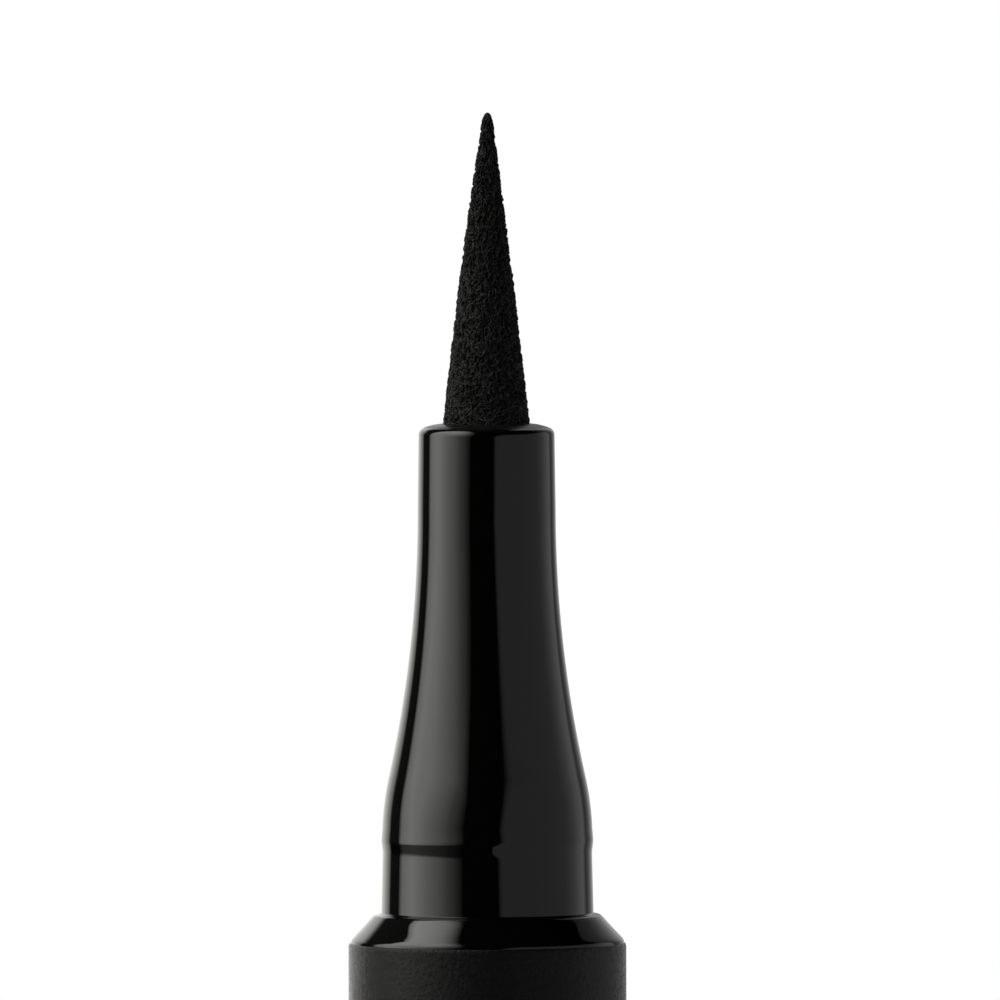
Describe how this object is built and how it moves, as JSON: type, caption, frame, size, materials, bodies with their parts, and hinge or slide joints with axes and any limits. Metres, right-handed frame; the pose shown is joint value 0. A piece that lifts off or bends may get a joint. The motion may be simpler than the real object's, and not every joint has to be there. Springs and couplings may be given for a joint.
{
  "type": "liquid eyeliner pen",
  "caption": "Slim liquid eyeliner pen, uncapped, with a tapered felt nib, glossy flared nose, matte barrel and its cap posted on the tail.",
  "frame": {"origin": "centre of the posted cap's closed end, on which the pen stands", "axes": "+Z along the pen's axis towards the nib; X and Y are alike, as the pen is round"},
  "size_m": [0.0096, 0.0096, 0.156],
  "materials": {
    "nib_felt": "ink-soaked pressed fibre",
    "feed_fibre": "bonded fibre rod",
    "gloss_black": "polished moulding",
    "soft_touch_black": "fine soft-touch coat",
    "inner_plastic": "natural moulding",
    "ink_tube_plastic": "milky moulding",
    "inner_cap_plastic": "natural moulding",
    "seal_rubber": "smooth",
    "ball_steel": "polished",
    "spring_steel": "drawn wire"
  },
  "bodies": {
    "pen": {"nib": "nib_felt", "nib_holder": "inner_plastic", "nose_cone": "gloss_black", "shoulder_ring": "gloss_black", "barrel": "soft_touch_black", "feed_core": "feed_fibre", "collector": "inner_plastic", "collector_o_ring": "seal_rubber", "ink_tube": "ink_tube_plastic", "tail_plug": "inner_plastic", "tail_post": "gloss_black"},
    "ball": {"mixing_ball": "ball_steel"},
    "cap": {"cap_shell": "soft_touch_black", "cap_liner": "gloss_black", "cap_end_disc": "gloss_black", "inner_cap_spring": "spring_steel"},
    "inner_cap": {"inner_cap": "inner_cap_plastic", "inner_cap_gasket": "seal_rubber"}
  },
  "joints": [
    {"name": "cap_slide", "type": "slide", "parent": "pen", "child": "cap", "axis": [0, 0, -1], "range_m": [0, 0.015]},
    {"name": "inner_cap_press", "type": "slide", "parent": "cap", "child": "inner_cap", "axis": [0, 0, -1], "range_m": [0, 0.0012], "stiffness_N_per_m": 250, "springref_m": -0.0012, "deforming": ["inner_cap_spring"]},
    {"name": "ball_slide", "type": "slide", "parent": "pen", "child": "ball", "axis": [0, 0, 1], "range_m": [0, 0.042]}
  ]
}
